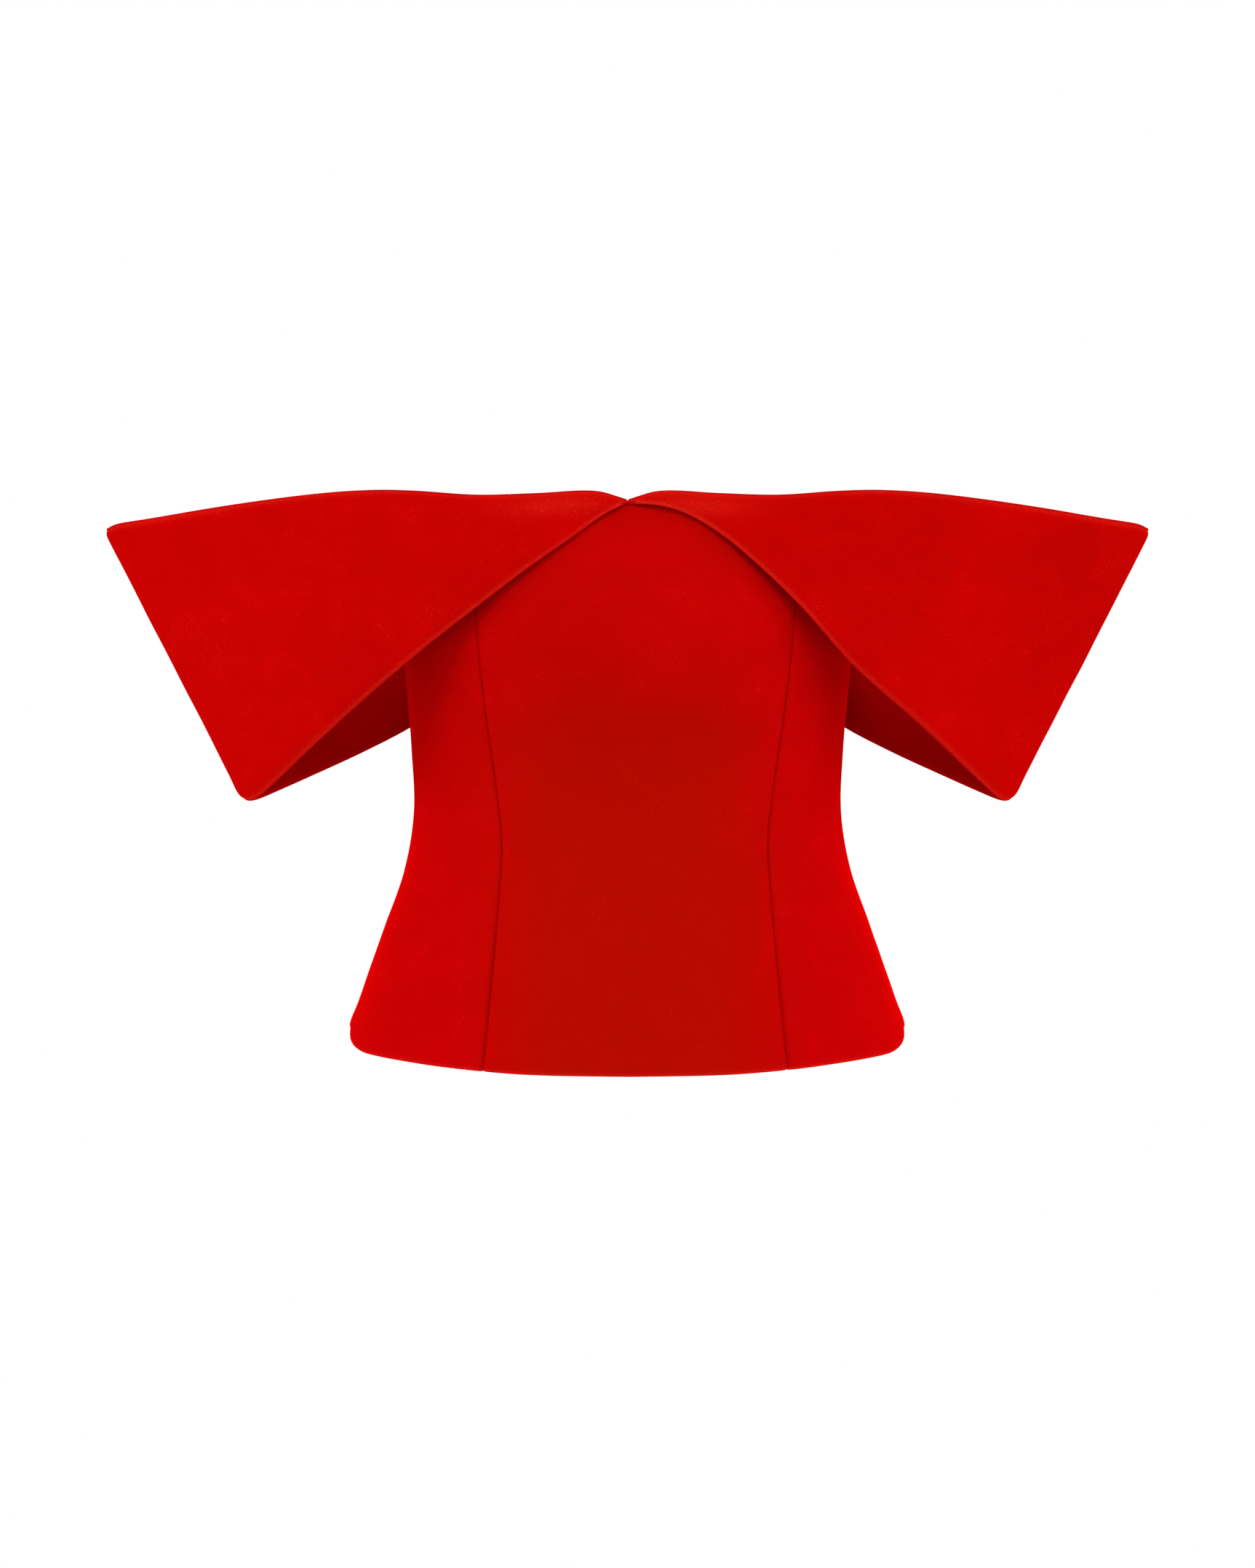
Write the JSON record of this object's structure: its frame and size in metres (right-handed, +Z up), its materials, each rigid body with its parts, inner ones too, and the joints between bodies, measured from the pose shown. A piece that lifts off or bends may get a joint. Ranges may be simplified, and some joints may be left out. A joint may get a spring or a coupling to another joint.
{
  "type": "off-the-shoulder top",
  "caption": "Fitted off-the-shoulder velvet top with a wide folded collar forming two wings over the arms, princess seams, flared hem and a centre-back zip.",
  "frame": {"origin": "on the torso's axis at the waist, level with the narrowest part of the bodice", "axes": "+X towards the wearer's left, -Y is the front, +Z up"},
  "size_m": [0.6302, 0.23, 0.3443],
  "materials": {
    "velvet": "soft pile",
    "velvet_facing": "soft pile",
    "interlining": "matte",
    "lining": "satin",
    "bone": "matte",
    "casing": "matte",
    "cup": "matte",
    "grosgrain": "ribbed",
    "gripper": "matte",
    "zip_tape": "woven",
    "zip_coil": "matte",
    "zip_metal": "gloss",
    "hook_wire": "gloss",
    "loop_ribbon": "satin"
  },
  "bodies": {
    "bodice": {"back_gripper_tape": "gripper", "back_seam_bones": "bone", "bone_casings": "casing", "centre_front_lining": "lining", "centre_front_panel": "velvet", "front_gripper_tape": "gripper", "front_hem_facing": "velvet_facing", "left_back_hem_facing": "velvet_facing", "left_back_lining": "lining", "left_back_panel": "velvet", "left_bust_cup": "cup", "left_collar_back": "velvet", "left_collar_back_facing": "velvet_facing", "left_collar_front": "velvet", "left_collar_front_facing": "velvet_facing", "left_collar_interlining": "interlining", "left_side_back_lining": "lining", "left_side_back_panel": "velvet", "left_side_front_lining": "lining", "left_side_front_panel": "velvet", "left_zip_coil": "zip_coil", "left_zip_tape": "zip_tape", "neck_hook_and_eye": "hook_wire", "princess_seam_bones": "bone", "right_back_hem_facing": "velvet_facing", "right_back_lining": "lining", "right_back_panel": "velvet", "right_bust_cup": "cup", "right_collar_back": "velvet", "right_collar_back_facing": "velvet_facing", "right_collar_front": "velvet", "right_collar_front_facing": "velvet_facing", "right_collar_interlining": "interlining", "right_side_back_lining": "lining", "right_side_back_panel": "velvet", "right_side_front_lining": "lining", "right_side_front_panel": "velvet", "right_zip_coil": "zip_coil", "right_zip_tape": "zip_tape", "side_seam_bones": "bone", "waist_hook_and_eye": "hook_wire", "waist_stay": "grosgrain", "zip_retaining_box": "zip_metal", "zip_side_bones": "bone", "zip_top_stops": "zip_metal"},
    "left_wing": {"left_wing_back": "velvet", "left_wing_back_facing": "velvet_facing", "left_wing_front": "velvet", "left_wing_front_facing": "velvet_facing", "left_wing_interlining": "interlining"},
    "right_wing": {"right_wing_back": "velvet", "right_wing_back_facing": "velvet_facing", "right_wing_front": "velvet", "right_wing_front_facing": "velvet_facing", "right_wing_interlining": "interlining"},
    "zip_slider": {"zip_slider": "zip_metal"},
    "zip_pull": {"zip_pull": "zip_metal"},
    "left_hanger_loop": {"left_hanger_loop": "loop_ribbon"},
    "right_hanger_loop": {"right_hanger_loop": "loop_ribbon"}
  },
  "joints": [
    {"name": "zip_travel", "type": "hinge", "parent": "bodice", "child": "zip_slider", "pos_m": [0, 0.684, 0.025], "axis": [1, 0, 0], "range_deg": [0, 28.4]},
    {"name": "zip_pull_swing", "type": "hinge", "parent": "zip_slider", "child": "zip_pull", "pos_m": [0, 0.10094, 0.15964], "axis": [1, 0, 0], "range_deg": [-11, 140]},
    {"name": "left_wing_lift", "type": "hinge", "parent": "bodice", "child": "left_wing", "pos_m": [0.1002, 0, 0.2], "axis": [0, -1, 0], "range_deg": [0, 35], "stiffness_Nm_per_rad": 0.2},
    {"name": "right_wing_lift", "type": "hinge", "parent": "bodice", "child": "right_wing", "pos_m": [-0.1002, 0, 0.2], "axis": [0, 1, 0], "range_deg": [0, 35], "stiffness_Nm_per_rad": 0.2},
    {"name": "left_loop_swing", "type": "hinge", "parent": "bodice", "child": "left_hanger_loop", "pos_m": [0.12673, 0.008, 0.099], "axis": [0, 1, 0], "range_deg": [0, 60]},
    {"name": "right_loop_swing", "type": "hinge", "parent": "bodice", "child": "right_hanger_loop", "pos_m": [-0.12673, 0.008, 0.099], "axis": [0, -1, 0], "range_deg": [0, 60]}
  ]
}
